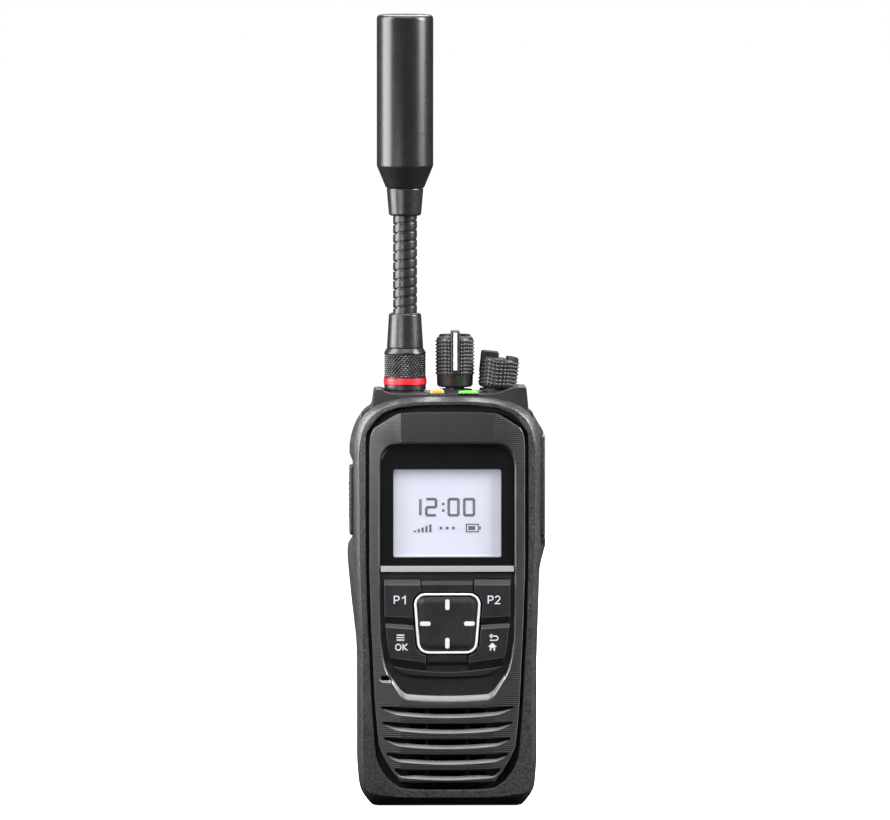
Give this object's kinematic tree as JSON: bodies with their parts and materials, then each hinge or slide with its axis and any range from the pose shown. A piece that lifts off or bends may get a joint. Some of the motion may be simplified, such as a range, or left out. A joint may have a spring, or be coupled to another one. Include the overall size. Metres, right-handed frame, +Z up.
{
  "type": "satellite phone",
  "caption": "Handheld satellite phone with a gooseneck antenna, top knobs, a small display, a keypad and a slide-off battery pack.",
  "frame": {"origin": "middle of the bounding box's underside: the foot of the handset", "axes": "+Z up towards the antenna's top, front face towards -Y, +X to the right of someone looking at the display"},
  "size_m": [0.0636, 0.0328, 0.2541],
  "materials": {
    "case_plastic": "sparked texture, satin",
    "panel_plastic": "fine dots and lines, satin",
    "chassis_paint": "die-cast, textured black paint",
    "seal_rubber": "matte",
    "window_glass": "polished, black printed behind",
    "satin_silver": "brushed satin",
    "display_glass": "pale lit display",
    "key_rubber": "satin coated",
    "white_print": "white",
    "speaker_black": "matte",
    "board_green": "solder mask",
    "shield_tin": "tinned",
    "patch_ceramic": "fired",
    "gold_contact": "gold plated",
    "steel": "bright",
    "black_screw": "blackened",
    "light_green": "clear, lit",
    "signal_orange": "satin",
    "knob_plastic": "satin",
    "antenna_black": "satin black",
    "radome_plastic": "satin black",
    "marker_red": "satin red",
    "copper": "plain",
    "battery_plastic": "sparked texture",
    "cell_wrap": "shrink wrap"
  },
  "bodies": {
    "handset": {"front_case": "case_plastic", "front_panel": "panel_plastic", "rear_chassis": "chassis_paint", "case_gasket": "seal_rubber", "window_lens": "window_glass", "display_trim": "satin_silver", "lower_trim": "satin_silver", "lcd_module": "display_glass", "keypad_frame": "key_rubber", "keypad_mat": "seal_rubber", "speaker": "speaker_black", "speaker_mesh": "speaker_black", "microphone": "shield_tin", "main_board": "board_green", "rf_shield": "shield_tin", "satellite_modem": "shield_tin", "gps_patch": "patch_ceramic", "battery_terminals": "gold_contact", "antenna_connector": "gold_contact", "selector_switch": "shield_tin", "volume_control": "shield_tin", "knob_seals": "seal_rubber", "status_light": "light_green", "accessory_jack": "speaker_black", "ptt_switch": "shield_tin", "case_screws": "steel"},
    "upper_left_key": {"upper_left_key": "key_rubber"},
    "upper_right_key": {"upper_right_key": "key_rubber"},
    "menu_key": {"menu_key": "key_rubber"},
    "back_key": {"back_key": "key_rubber"},
    "pad_carrier": {"pad_carrier": "seal_rubber"},
    "four_way_pad": {"four_way_pad": "key_rubber", "pad_rim": "white_print"},
    "emergency_button": {"emergency_button": "signal_orange"},
    "ptt_button": {"ptt_button": "key_rubber"},
    "jack_cover": {"jack_cover": "case_plastic"},
    "jack_screw": {"jack_screw": "black_screw"},
    "selector_knob": {"selector_knob": "knob_plastic", "selector_inlay": "white_print", "selector_shaft": "steel"},
    "volume_knob": {"volume_knob": "knob_plastic", "volume_inlay": "white_print", "volume_shaft": "steel"},
    "antenna_base": {"antenna_sleeve": "antenna_black", "marker_ring": "marker_red", "antenna_plug": "gold_contact", "lower_ferrule": "antenna_black"},
    "neck_1": {"neck_link_1": "antenna_black"},
    "neck_2": {"neck_link_2": "antenna_black"},
    "neck_3": {"neck_link_3": "antenna_black"},
    "neck_4": {"neck_link_4": "antenna_black"},
    "neck_5": {"neck_link_5": "antenna_black"},
    "antenna_head": {"upper_ferrule": "antenna_black", "radome_base": "radome_plastic", "radome": "radome_plastic", "helix_element": "copper"},
    "battery_pack": {"battery_case": "battery_plastic", "battery_cells": "cell_wrap", "battery_contacts": "gold_contact"},
    "battery_latch": {"battery_latch": "knob_plastic"}
  },
  "joints": [
    {"name": "upper_left_key_press", "type": "slide", "parent": "handset", "child": "upper_left_key", "axis": [0, 1, 0], "range_m": [0, 0.0006], "stiffness_N_per_m": 600},
    {"name": "upper_right_key_press", "type": "slide", "parent": "handset", "child": "upper_right_key", "axis": [0, 1, 0], "range_m": [0, 0.0006], "stiffness_N_per_m": 600},
    {"name": "menu_key_press", "type": "slide", "parent": "handset", "child": "menu_key", "axis": [0, 1, 0], "range_m": [0, 0.0006], "stiffness_N_per_m": 600},
    {"name": "back_key_press", "type": "slide", "parent": "handset", "child": "back_key", "axis": [0, 1, 0], "range_m": [0, 0.0006], "stiffness_N_per_m": 600},
    {"name": "pad_tilt_updown", "type": "hinge", "parent": "handset", "child": "pad_carrier", "pos_m": [0, -0.0122, 0.05885], "axis": [1, 0, 0], "range_deg": [-3, 3], "stiffness_Nm_per_rad": 0.25},
    {"name": "pad_tilt_sideways", "type": "hinge", "parent": "pad_carrier", "child": "four_way_pad", "pos_m": [0, -0.0122, 0.05885], "axis": [0, 0, 1], "range_deg": [-3, 3], "stiffness_Nm_per_rad": 0.25},
    {"name": "emergency_press", "type": "slide", "parent": "handset", "child": "emergency_button", "axis": [0, 0, -1], "range_m": [0, 0.0008], "stiffness_N_per_m": 1200},
    {"name": "ptt_press", "type": "slide", "parent": "handset", "child": "ptt_button", "axis": [1, 0, 0], "range_m": [0, 0.0012], "stiffness_N_per_m": 1500},
    {"name": "jack_cover_open", "type": "hinge", "parent": "handset", "child": "jack_cover", "pos_m": [0.03085, -0.00385, 0.085], "axis": [0, 1, 0], "range_deg": [0, 100]},
    {"name": "jack_screw_turn", "type": "hinge", "parent": "jack_cover", "child": "jack_screw", "pos_m": [0.03, -0.00385, 0.1155], "axis": [1, 0, 0], "continuous": true},
    {"name": "selector_turn", "type": "hinge", "parent": "handset", "child": "selector_knob", "pos_m": [0.00275, 0.001, 0.1326], "axis": [0, 0, 1], "continuous": true},
    {"name": "volume_turn", "type": "hinge", "parent": "handset", "child": "volume_knob", "pos_m": [0.0161, 0.001, 0.1326], "axis": [0.1045, 0, 0.9945], "range_deg": [-270, 0]},
    {"name": "antenna_turn", "type": "hinge", "parent": "handset", "child": "antenna_base", "pos_m": [-0.0133, 0.001, 0.14], "axis": [0, 0, 1], "continuous": true},
    {"name": "neck_bend_1", "type": "hinge", "parent": "antenna_base", "child": "neck_1", "pos_m": [-0.0133, 0.001, 0.16062], "axis": [1, 0, 0], "range_deg": [-15, 15]},
    {"name": "neck_bend_2", "type": "hinge", "parent": "neck_1", "child": "neck_2", "pos_m": [-0.0133, 0.001, 0.16585], "axis": [0, 1, 0], "range_deg": [-15, 15]},
    {"name": "neck_bend_3", "type": "hinge", "parent": "neck_2", "child": "neck_3", "pos_m": [-0.0133, 0.001, 0.17108], "axis": [1, 0, 0], "range_deg": [-15, 15]},
    {"name": "neck_bend_4", "type": "hinge", "parent": "neck_3", "child": "neck_4", "pos_m": [-0.0133, 0.001, 0.17632], "axis": [0, 1, 0], "range_deg": [-15, 15]},
    {"name": "neck_bend_5", "type": "hinge", "parent": "neck_4", "child": "neck_5", "pos_m": [-0.0133, 0.001, 0.18155], "axis": [1, 0, 0], "range_deg": [-15, 15]},
    {"name": "neck_bend_6", "type": "hinge", "parent": "neck_5", "child": "antenna_head", "pos_m": [-0.0133, 0.001, 0.18678], "axis": [0, 1, 0], "range_deg": [-15, 15]},
    {"name": "battery_slide", "type": "slide", "parent": "handset", "child": "battery_pack", "axis": [0, 1, 0], "range_m": [0, 0.03]},
    {"name": "battery_latch_slide", "type": "slide", "parent": "battery_pack", "child": "battery_latch", "axis": [0, 0, -1], "range_m": [0, 0.0024], "stiffness_N_per_m": 800}
  ],
  "couplings": [
    {"joint": "neck_bend_3", "follows": "neck_bend_1", "ratio": 1},
    {"joint": "neck_bend_5", "follows": "neck_bend_1", "ratio": 1},
    {"joint": "neck_bend_4", "follows": "neck_bend_2", "ratio": 1},
    {"joint": "neck_bend_6", "follows": "neck_bend_2", "ratio": 1}
  ]
}
